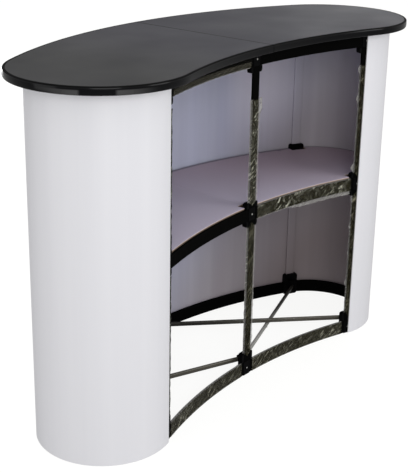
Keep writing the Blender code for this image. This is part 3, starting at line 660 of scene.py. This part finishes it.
def film_finish(name, cover_low, cover_high, dark, pale, turn, shadow_line_above=None):
    """Clear film, seen by its creases. Above the height shadow_line_above it is made almost clear, so that the black
    bar shows as a painted shadow under the top's edge.
    """
    material, tree, shader, place = new_material(name)
    folds = use_group(tree, creases, Place=place, Turn=turn)
    cross = use_group(tree, creases, Place=place, Along=40.0, Across=110.0, Turn=-1.1)
    faint = add_node(tree, "ShaderNodeMath", {"operation": "MULTIPLY"}, i0=cross.outputs["Streaks"], i1=0.4)
    seen = add_node(tree, "ShaderNodeMath", {"operation": "MAXIMUM"}, i0=folds.outputs["Streaks"],
                    i1=faint.outputs["Value"])
    loose = use_group(tree, smudges, Place=place, Scale=16.0, Low=0.35, High=1.25)
    seen = add_node(tree, "ShaderNodeMath", {"operation": "MULTIPLY", "use_clamp": True},
                    i0=seen.outputs["Value"], i1=loose.outputs["Roughness"])
    cover = add_node(tree, "ShaderNodeMapRange", None,
                     **{"Value": seen.outputs["Value"], "To Min": cover_low, "To Max": cover_high})
    tone = add_node(tree, "ShaderNodeMix", {"data_type": "RGBA"}, i0=seen.outputs["Value"],
                    i6=(*dark, 1), i7=(*pale, 1))
    tree.links.new(tone.outputs[2], shader.inputs["Base Color"])
    covered = cover.outputs["Result"]
    # Painted shadow: above this height the film nearly vanishes and the black bar shows.
    if shadow_line_above:
        height = add_node(tree, "ShaderNodeSeparateXYZ", None, Vector=place).outputs["Z"]
        flat = add_node(tree, "ShaderNodeMapRange", {"interpolation_type": "SMOOTHSTEP"},
                        **{"Value": height, "From Min": shadow_line_above - TOP_SHADOW_FADE, "From Max": shadow_line_above,
                           "To Min": 1.0, "To Max": 0.06})
        covered = add_node(tree, "ShaderNodeMath", {"operation": "MULTIPLY"}, i0=covered,
                           i1=flat.outputs["Result"]).outputs["Value"]
    tree.links.new(covered, shader.inputs["Alpha"])
    tree.links.new(folds.outputs["Normal"], shader.inputs["Normal"])
    shader.inputs["Roughness"].default_value = 0.25
    shader.inputs["Specular IOR Level"].default_value = 0.17
    return material


film_clear = film_finish("film_clear", 0.36, 0.86, (0.044, 0.040, 0.020), (0.58, 0.57, 0.47), 0.65)
film_dark = film_finish("film_dark", 0.26, 0.56, (0.040, 0.036, 0.016), (0.36, 0.34, 0.24), 0.65)
film_bar = film_finish("film_bar", 0.44, 0.80, (0.050, 0.046, 0.028), (0.34, 0.33, 0.26), 0.65)
# This film carries a painted shadow along the top of its bar, under the top's edge.
film_calm = film_finish("film_calm", 0.30, 0.44, (0.095, 0.088, 0.062), (0.22, 0.21, 0.17), 0.3,
                        shadow_line_above=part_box("bar_back_top_left")[1].z - TOP_SHADOW_BAND)
film_seam = film_finish("film_seam", 0.44, 0.64, (0.34, 0.33, 0.31), (0.47, 0.46, 0.45), 0.65)
film_edge = film_finish("film_edge", 0.88, 0.80, (0.012, 0.012, 0.010), (0.34, 0.36, 0.30), 0.65)
print("finishes:", film_clear.name, film_dark.name, film_bar.name, film_calm.name, film_seam.name)

# %% [markdown]
# ## Finishes on the solids that already have the right shape
# A node's name starts with what it is, so one table sends each solid to its finish.

# %% Paint the solids
finish_of = {
    "hub_": hub_plastic,
    "upright_back": bar_coat,
    "upright_front": panel_liner,
    "bar_": bar_coat,
    "strut_high_": strut_metal,
    "strut_low_": strut_highlit,
    "strut_pair_": strut_metal,
    "shelf_": shelf_laminate,
}
painted = 0
for name, obj in nodes.items():
    for start, material in finish_of.items():
        if name.startswith(start):
            obj.data.materials.clear()
            obj.data.materials.append(material)
            painted += 1
print("painted solids:", painted)

# %% [markdown]
# A mould leaves no knife edges, and a coated bar has none either. The solids arrive with their vertices
# split at each hard edge, so a weld comes first, and then a bevel of half a millimetre rounds the edges.

# %% Soften the edges of the solids
SOFT_EDGES = {"hub_": 0.0007, "upright_": 0.0004, "bar_": 0.0004, "strut_": 0.0003, "shelf_": 0.0004}
softened = 0
for name, obj in nodes.items():
    for start, width in SOFT_EDGES.items():
        if name.startswith(start):
            weld = obj.modifiers.new("weld", "WELD")
            weld.merge_threshold = 0.00001
            bevel = obj.modifiers.new("soft_edge", "BEVEL")
            bevel.width = width
            bevel.segments = 2
            bevel.limit_method = "ANGLE"
            bevel.angle_limit = math.radians(38)
            softened += 1
print("softened solids:", softened)

# %% Helpers for meshes


def skin(name, rings, materials, closed_rings=True, caps=True, cap_materials=(0, 0), smooth=True):
    """A mesh over equal rings of points, closed at both ends."""
    build = bmesh.new()
    rows = [[build.verts.new(point) for point in ring] for ring in rings]
    count = len(rows[0])
    for low, high in zip(rows, rows[1:]):
        for i in range(count if closed_rings else count - 1):
            j = (i + 1) % count
            build.faces.new((low[i], low[j], high[j], high[i]))
    if caps:
        for row, index in ((rows[0], cap_materials[0]), (rows[-1], cap_materials[1])):
            build.faces.new(row).material_index = index
    bmesh.ops.recalc_face_normals(build, faces=build.faces)
    mesh = bpy.data.meshes.new(name)
    build.to_mesh(mesh)
    build.free()
    for material in materials:
        mesh.materials.append(material)
    if smooth:
        mesh.shade_smooth()
        mesh.set_sharp_from_angle(angle=math.radians(40))
    obj = bpy.data.objects.new(name, mesh)
    bpy.context.scene.collection.objects.link(obj)
    return obj


def settle(obj, body, stands_for=()):
    """Makes a finished piece ride on its body."""
    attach(obj, body)
    if stands_for:
        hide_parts(*stands_for)
    return obj


print("mesh helpers ready")

# %% [markdown]
# ## The top
# Each half is a board with a thin laminate face, a plain backing sheet and a rounded plastic band round its
# rim. The board is one outline repeated at a few heights, with the sharp edges drawn in by half a
# millimetre, because a real edge always catches a little light. The band is the same outline repeated
# along an oval nose, and a fine groove is left between the two.

# %% Build the boards
BAND_WIDTH = 0.007
GROOVE = 0.0004
BROKEN_EDGE = 0.0006
SEAM_HALF = 0.0009

for side_name, side in SIDES.items():
    rim = BAND_WIDTH + GROOVE
    levels = (
        (rim + BROKEN_EDGE, SEAM_HALF + BROKEN_EDGE, board_low_z),
        (rim, SEAM_HALF, board_low_z + BROKEN_EDGE),
        (rim, SEAM_HALF, board_high_z - BROKEN_EDGE),
        (rim + BROKEN_EDGE, SEAM_HALF + BROKEN_EDGE, board_high_z),
    )
    rings = [[(p.x, p.y, z) for p in half_outline(inset, side, seam)] for inset, seam, z in levels]
    board = skin("counter_top_" + side_name, rings, (top_laminate, top_backing), cap_materials=(1, 0))
    settle(board, "top_" + side_name, ("top_board_" + side_name,))
    print(board.name, "faces:", len(board.data.polygons))

# %% Build the edge bands
NOSE_STEPS = 18
NOSE_POWER = 0.42
LIP_SLOPE = 0.5


def nose(step):
    """Distance in from the outermost line, and height share, at a step up the oval nose."""
    turn = math.pi * (step / NOSE_STEPS - 0.5)
    out = math.cos(turn) ** NOSE_POWER if step not in (0, NOSE_STEPS) else 0.0
    lift = math.copysign(abs(math.sin(turn)) ** NOSE_POWER, turn)
    return BAND_WIDTH * (1 - out), (1 + lift) / 2


for side_name, side in SIDES.items():
    outlines = []
    for step in range(NOSE_STEPS + 1):
        inset, share = nose(step)
        z = board_low_z + (board_high_z - board_low_z) * share
        outlines.append([(p.x, p.y, z) for p in half_outline(inset, side, SEAM_HALF)])
    rings = [list(ring) for ring in zip(*outlines)]
    band = skin("edge_band_" + side_name, rings, (edge_gloss, edge_lip))
    for face in band.data.polygons:
        if face.normal.z > LIP_SLOPE:
            face.material_index = 1
    settle(band, "top_" + side_name, ("top_edge_" + side_name,))
    print(band.name, "faces:", len(band.data.polygons))

# %% [markdown]
# ## The panels
# A panel is a sheet bent round its arc. A sheet that was rolled up never lies perfectly true, so its radius
# wanders by a fraction of a millimetre, which is enough to make the light on it run unevenly. Its back face
# takes the liner finish.

# %% Build the panels
panel_low_z, panel_high_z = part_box("panel_front")[0].z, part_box("panel_front")[1].z
PANEL_INSET = 0.046
PANEL_THICKNESS = 0.003
PANEL_EDGE = 0.0004
SEAM = 0.0002
WANDER = 0.00025
WANDER_LENGTH = 0.09


def bent_sheet(name, centre, radius, first, last, steps, low, high, thickness, materials, wander=0.0):
    """A sheet bent round a plan centre, with a softened rim. Its back takes the last material."""
    rings = []
    rim = min(PANEL_EDGE, thickness / 3)
    for angle in spread_over(first, last, steps):
        drift = wander * noise.noise(Vector((angle * radius / WANDER_LENGTH, radius, low)))
        out, back = radius + drift, radius + drift - thickness
        section = (
            (out - rim, low), (out, low + rim), (out, high - rim), (out - rim, high),
            (back + rim, high), (back, high - rim), (back, low + rim), (back + rim, low),
        )
        rings.append([(*at(centre, r, angle), z) for r, z in section])
    sheet = skin(name, rings, materials, cap_materials=(1, 1) if len(materials) > 2 else (0, 0))
    if len(materials) > 1:
        for face in sheet.data.polygons:
            away = face.center.xy - centre
            if face.normal.xy.normalized().dot(away.normalized()) < -0.9:
                face.material_index = len(materials) - 1
    return sheet


front_radius = OUTER_RADIUS - PANEL_INSET
turn_seam = SEAM / front_radius
front_panel = bent_sheet(
    "front_panel", outer_centre, front_radius, turn_seam - front_angle, front_angle - turn_seam, 96,
    panel_low_z, panel_high_z, PANEL_THICKNESS, (panel_white, panel_cut, panel_liner), WANDER,
)
settle(front_panel, "frame", ("panel_front",))
end_radius = END_RADIUS - PANEL_INSET
turn_seam = SEAM / end_radius
for side_name, side in SIDES.items():
    end_panel = bent_sheet(
        "end_panel_" + side_name, end_centres[side_name], end_radius, side * (front_angle + turn_seam),
        side * (math.pi + back_angle), 110, panel_low_z, panel_high_z, PANEL_THICKNESS,
        (panel_white, panel_cut, panel_liner), WANDER,
    )
    settle(end_panel, "frame", ("panel_end_" + side_name,))
print("panels:", front_panel.name, "and two ends")

# %% [markdown]
# The panels hold on by magnets: a dark strip of magnet tape is glued behind each panel wherever an upright
# stands. It hardly shows, but it is the reason why a panel stands off the hubs by two millimetres.

# %% Build the magnet strips
STRIP_WIDTH = 0.018
STRIP_THICKNESS = 0.0019
front_strips = {
    "left": (turn_seam - front_angle, turn_seam - front_angle + STRIP_WIDTH / 2 / front_radius),
    "centre": (-STRIP_WIDTH / 2 / front_radius, STRIP_WIDTH / 2 / front_radius),
    "right": (front_angle - turn_seam - STRIP_WIDTH / 2 / front_radius, front_angle - turn_seam),
}
half_strip = STRIP_WIDTH / 2 / end_radius
strip_count = 0
for storey in ("lower", "upper"):
    strip_low, strip_high = (corner.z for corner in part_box("upright_front_centre_" + storey))
    spans = [("front_" + key, outer_centre, front_radius, *span) for key, span in front_strips.items()]
    for side_name, side in SIDES.items():
        first, last = side * front_angle, side * (math.pi + back_angle)
        spans.append(("end_" + side_name + "_fore", end_centres[side_name], end_radius,
                      first + side * turn_seam, first + side * half_strip))
        spans.append(("end_" + side_name + "_aft", end_centres[side_name], end_radius,
                      last - side * half_strip, last))
    for key, centre, radius, first, last in spans:
        strip = bent_sheet("magnet_strip_" + key + "_" + storey, centre, radius - PANEL_THICKNESS, first, last, 2,
                           strip_low, strip_high, STRIP_THICKNESS, (magnet_tape,))
        settle(strip, "frame")
        strip_count += 1
print("magnet strips:", strip_count)

# %% [markdown]
# ## Rivets in the hubs
# A pale pressed rivet closes the front of each hub. It is a shallow dome: a half profile turned round an
# axis, which points out of the hub.

# %% Build the rivets
RIVET_PROFILE = ((0.0025, 0.0006), (0.0025, 0.0009), (0.0021, 0.0012), (0.0014, 0.00145), (0.0005, 0.0015))
TURN_STEPS = 20


def turned_piece(name, profile, centre, out, materials, steps=TURN_STEPS):
    """A half profile of (radius, height) turned round the axis that points out."""
    side_way = out.orthogonal().normalized()
    up_way = out.cross(side_way)
    rings = []
    for radius, height in profile:
        rings.append([centre + out * height + (side_way * math.cos(a) + up_way * math.sin(a)) * radius
                      for a in spread_over(0, 2 * math.pi, steps)[:-1]])
    return skin(name, rings, materials)


BACK_FACE, FRONT_FACE = 1.33127, 1.23123
faces = {"centre": 0, **SIDES}
rivet_count = 0
for column, side in faces.items():
    for level, probe in (("bottom", "bar_back_bottom_left"), ("middle", "bar_back_middle_left"),
                         ("top", "bar_back_top_left")):
        low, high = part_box(probe)
        height = (low.z + high.z) / 2
        spot = at(concave_centre, BACK_FACE, side * back_angle)
        out = (concave_centre - spot).normalized()
        rivet = turned_piece("rivet_" + column + "_" + level, RIVET_PROFILE,
                             Vector((*spot, height)), Vector((*out, 0)), (rivet_grey,))
        settle(rivet, "frame")
        rivet_count += 1
print("rivets:", rivet_count)

# %% [markdown]
# ## Protective film
# Sleeves of thin film are still on most of the bars of the staff side. A sleeve is a flat tube: it lies
# loosely over the bar's face in slanting folds, hugs the back, and its two welded seams stand out as pale
# fins at the edges. It is built as rings along the bar. Each ring's points run over the face, out to one
# fin, along the back and out to the other fin, and smooth noise lifts the points of the face.

# %% Helper for the sleeves
BAR_THICKNESS = 0.006
FACE_STEPS = 8
FILM_GAP = 0.0003
FILM_STEP = 0.003
WELD_SHARE = 0.25


def fold_lift(along, across, seed, height):
    """How far a fold lifts the film at a place on the bar."""
    slant = Vector((along * 70 + across * 85, along * 25 - across * 40, seed))
    small = Vector((along * 190 - across * 120, across * 160, seed + 7))
    lift = 0.75 * noise.noise(slant) + 0.45 * noise.noise(small)
    return height * min(1.0, max(0.0, 0.25 + lift))


FLAP_LENGTH = 0.056
FLAP_RISE = 0.022
DROOP_FROM, DROOP_RISE = 0.36, 0.12


def film_sleeve(name, place_at, length, half_width, seed, fold=0.0011, fins=(0.0022, 0.0022), reach=(0.0, 0.0),
                flare=0.0, forward=0.0, droop=0.0, ragged=False, low_limit=0.0004, face_film=film_clear,
                fin_film=film_seam):
    """A sleeve on a bar. place_at(s) gives the bar's middle, and the ways across, out and along at s."""
    rings = []
    steps = max(8, round(length / FILM_STEP))
    for step in range(steps + 1):
        s = length * step / steps
        middle, across, out, along = place_at(s)
        near_start, near_end = math.exp(-s / 0.006), math.exp(-(length - s) / 0.006)
        ring = []
        for k in range(FACE_STEPS + 1):
            u = 2 * k / FACE_STEPS - 1
            lift = FILM_GAP + fold_lift(s, u * half_width, seed, fold) * (1 - 0.5 * abs(u) ** 4)
            slide = (reach[1] * near_end - reach[0] * near_start) * (1 - abs(u))
            ring.append(middle + across * (u * half_width) + out * (BAR_THICKNESS / 2 + lift) + along * slide)
        for sign in (1, -1):
            fin = fins[0 if sign > 0 else 1]
            if ragged:
                fin *= max(0.15, 3.2 * noise.noise(Vector((s * 34, seed * 3.1, sign))))
            else:
                fin *= 0.75 + 0.5 * noise.noise(Vector((s * 60, seed * 3.1, sign)))
            open_share = min(1.0, max(0.0, (s - length + FLAP_LENGTH) / FLAP_RISE))
            hung_share = min(1.0, max(0.0, (s / length - DROOP_FROM) / DROOP_RISE))
            fin += flare * open_share if sign > 0 else flare * open_share * 0.15 + droop * hung_share
            drift = 0.0008 * noise.noise(Vector((s * 90, seed, sign * 5))) + (forward if sign > 0 else 0.0)
            edge = half_width + FILM_GAP
            weld = edge + fin * WELD_SHARE
            fin_points = [
                middle + across * (sign * weld) + out * (drift + 0.0004),
                middle + across * (sign * (edge + fin)) + out * (drift + 0.00012),
                middle + across * (sign * (edge + fin)) + out * (drift - 0.00012),
                middle + across * (sign * weld) + out * (drift - 0.0004),
            ]
            if sign > 0:
                ring += fin_points
                for k in range(3):
                    u = 1 - k
                    ring.append(middle + across * (u * half_width) - out * (BAR_THICKNESS / 2 + FILM_GAP))
            else:
                ring += fin_points[::-1]
        for point in ring:
            point.z = max(point.z, low_limit)
        rings.append(ring)
    sleeve = skin(name, rings, (face_film, fin_film))
    fin_faces = set(range(FACE_STEPS, FACE_STEPS + 5)) | set(range(FACE_STEPS + 7, FACE_STEPS + 12))
    per_ring = len(rings[0])
    for index, face in enumerate(sleeve.data.polygons):
        if index < per_ring * steps and index % per_ring in fin_faces:
            face.material_index = 1
    return settle(sleeve, "frame")


print("a ring of a sleeve has", FACE_STEPS + 12, "points")

# %% Sleeves on the uprights
UP = Vector((0, 0, 1))


def up_the_column(side, low):
    """Places up an upright of the staff side."""
    spot = at(concave_centre, BACK_FACE, side * back_angle)
    out = (concave_centre - spot).normalized()
    middle = spot - out * BAR_THICKNESS / 2
    out = Vector((*out, 0))
    across = UP.cross(out)
    return lambda s: (Vector((*middle, low + s)), across, out, UP)


hub_tops = [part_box("hub_back_centre_" + level)[1].z for level in ("bottom", "middle")]
hub_feet = [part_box("hub_back_centre_" + level)[0].z for level in ("middle", "top")]
UPRIGHT_HALF = 0.014
HUB_MARGIN = 0.0006
UPPER_ENDS = {"left": 0.862, "centre": 0.802, "right": 0.838}
LOOSE_SLEEVE = {"fold": 0.0011, "fins": (0.0068, 0.0052), "forward": 0.0024}
TIGHT_SLEEVE = {"fold": 0.0007, "fins": (0.0036, 0.0036), "ragged": True}
DARK_SLEEVE = {"fold": 0.0007, "fins": (0.0062, 0.0036), "forward": 0.0036, "fin_film": film_edge}
fit_of = {"centre": LOOSE_SLEEVE, "left": DARK_SLEEVE, "right": {**TIGHT_SLEEVE, "fins": (0.0036, 0.0058)}}
for number, (column, side) in enumerate(faces.items()):
    fit = fit_of[column]
    film_sleeve("film_lower_" + column, up_the_column(side, hub_tops[0] + HUB_MARGIN),
                hub_feet[0] - hub_tops[0] - 2 * HUB_MARGIN, UPRIGHT_HALF, 11 + number * 5,
                reach=(0.012, 0.012), face_film=film_dark, **fit)
    low = hub_tops[1] + HUB_MARGIN
    film_sleeve("film_upper_" + column, up_the_column(side, low), UPPER_ENDS[column] - low, UPRIGHT_HALF,
                31 + number * 5, reach=(0.012, -0.004), flare=0.009 if column == "centre" else 0.0,
                face_film=film_clear if column == "centre" else film_dark, **fit)
print("sleeves on uprights: 6")

# %% Sleeves on the curved bars
HUB_HALF = 0.0246


def along_the_bar(side, height):
    """Places along a curved bar of the staff side, from the middle column outwards."""
    def place(s):
        angle = side * (HUB_HALF + s) / BACK_FACE
        spot = at(concave_centre, BACK_FACE + BAR_THICKNESS / 2, angle)
        out = (concave_centre - spot).normalized()
        run = Vector((-side * out.y, side * out.x, 0))
        return Vector((*spot, height)), UP, Vector((*out, 0)), run
    return place


sleeved_bars = {
    "bar_back_middle_right": {"fold": 0.0011, "fins": (0.0010, 0.0040), "droop": 0.0085, "face_film": film_clear},
    "bar_back_bottom_left": {"fold": 0.0010, "fins": (0.0015, 0.0006), "face_film": film_bar},
    "bar_back_bottom_right": {"fold": 0.0010, "fins": (0.0015, 0.0006), "face_film": film_bar},
    "bar_back_top_left": {"fold": 0.0004, "fins": (0.0008, 0.0032), "face_film": film_calm},
}
arc_length = back_angle * BACK_FACE - 2 * HUB_HALF
for number, (bar, fit) in enumerate(sleeved_bars.items()):
    low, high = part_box(bar)
    side = 1 if bar.endswith("right") else -1
    film_sleeve("film_" + bar, along_the_bar(side, (low.z + high.z) / 2), arc_length, (high.z - low.z) / 2,
                51 + number * 7, **fit)
print("sleeves on bars:", len(sleeved_bars), "each", round(arc_length * 1000), "mm long")

# %% [markdown]
# ## Fittings of the top
# Two steel pegs under each half drop into sockets in the corner hubs. Each peg has a thin flange let into
# the board. In the seam there are hinge plates, which show only when the right half is folded over.

# %% Build the pegs
PEG_INSET = 0.00705
PEG_PROFILE = ((0.0012, -0.0090), (0.0030, -0.0087), (0.0040, -0.0076), (0.0040, -0.0002), (0.0090, -0.0002),
               (0.0090, 0.0004), (0.0012, 0.0004))
for side_name, side in SIDES.items():
    back_spot = at(concave_centre, BACK_FACE + PEG_INSET, side * back_angle)
    front_spot = at(outer_centre, FRONT_FACE - PEG_INSET, side * front_angle)
    for place_name, spot in (("back", back_spot), ("front", front_spot)):
        peg = turned_piece("peg_" + place_name + "_" + side_name, PEG_PROFILE,
                           Vector((*spot, board_low_z)), UP, (peg_steel,))
        settle(peg, "top_" + side_name)
print("pegs: 4, length in metres:", -PEG_PROFILE[0][1])

# %% Build the hinge plates
PLATE_LENGTH, PLATE_HEIGHT = 0.062, 0.012
PLATE_PROUD, PLATE_LET_IN = 0.0004, 0.0004
PLATE_AT = (-0.130, 0.170)
SCREW_PROFILE = ((0.0030, -0.0003), (0.0030, 0.00004), (0.0022, 0.00008), (0.0006, 0.00002))


def rounded_bar_outline(length, height, steps=10):
    """The outline of a plate with round ends, as (along, up)."""
    half, radius = (length - height) / 2, height / 2
    right = [(half + radius * math.cos(a), radius * math.sin(a)) for a in spread_over(-math.pi / 2, math.pi / 2, steps)]
    return right + [(-y, -z) for y, z in right]


for side_name, side in SIDES.items():
    middle_z = (board_low_z + board_high_z) / 2
    for number, plate_y in enumerate(PLATE_AT):
        y = plate_y + top_high.y - WIDTH_MIDDLE / 2 - 0.02
        rings = []
        for depth, shrink in ((-PLATE_LET_IN, 1.0), (PLATE_PROUD * 0.6, 1.0), (PLATE_PROUD, 0.97)):
            x = side * (SEAM_HALF - depth)
            rings.append([(x, y + a * shrink, middle_z + b * shrink)
                          for a, b in rounded_bar_outline(PLATE_LENGTH, PLATE_HEIGHT)])
        plate = skin("hinge_plate_" + side_name + "_" + str(number + 1), rings, (peg_steel,))
        settle(plate, "top_" + side_name)
print("hinge plates: 4, at y", PLATE_AT)

# %% [markdown]
# ## Studio
# A pale floor, a white room that lights everything evenly, a large soft light overhead and a softer one
# from the right, which gives the bays their bright side and their dark side.

# %% Build the studio
floor_mesh = bpy.data.meshes.new("studio_floor")
build = bmesh.new()
bmesh.ops.create_grid(build, x_segments=1, y_segments=1, size=40)
build.to_mesh(floor_mesh)
build.free()
floor = bpy.data.objects.new("studio_floor", floor_mesh)
bpy.context.scene.collection.objects.link(floor)
floor_finish, tree, shader, place = new_material("studio_floor")
shader.inputs["Base Color"].default_value = (0.16, 0.16, 0.16, 1)
shader.inputs["Emission Color"].default_value = (1.0, 1.0, 0.99, 1)
seen_directly = add_node(tree, "ShaderNodeLightPath", None).outputs["Is Camera Ray"]
glow = add_node(tree, "ShaderNodeMapRange", None, Value=seen_directly, **{"To Min": 0.27, "To Max": 0.90})
tree.links.new(glow.outputs["Result"], shader.inputs["Emission Strength"])
shader.inputs["Roughness"].default_value = 0.9
shader.inputs["Specular IOR Level"].default_value = 0.1
floor_mesh.materials.append(floor_finish)

world = bpy.data.worlds.new("studio_air")
bpy.context.scene.world = world
world.use_nodes = True
air = world.node_tree.nodes["Background"]
air.inputs["Color"].default_value = (1.0, 1.0, 1.0, 1)
air.inputs["Strength"].default_value = 0.62
bpy.context.scene.view_settings.view_transform = "Standard"


def soft_light(name, place, target, size, power, colour=(1, 1, 1)):
    """A square area light that looks at a target."""
    data = bpy.data.lights.new(name, "AREA")
    data.size = size
    data.energy = power
    data.color = colour
    light = bpy.data.objects.new(name, data)
    light.location = place
    light.rotation_euler = (Vector(target) - Vector(place)).to_track_quat("-Z", "Y").to_euler()
    bpy.context.scene.collection.objects.link(light)
    return light


soft_light("overhead_light", (0.2, 0.2, 3.6), (0, 0, 0), 4.0, 16)
soft_light("bay_light", (1.1, -3.4, 1.6), (-0.1, 0.1, 0.65), 1.8, 32)
soft_light("eye_light", (-2.6, -2.7, 1.7), (0.1, 0.0, 0.6), 2.0, 42)
soft_light("front_light", (1.6, 4.2, 0.45), (0.1, 0.0, 0.45), 0.9, 36)
soft_light("glint_light", (3.7, 1.6, 1.5), (0.4, 0.0, 0.95), 1.2, 6)
soft_light("left_light", (-3.4, 1.0, 0.7), (-0.5, 0.0, 0.5), 1.6, 10)
print("studio ready")
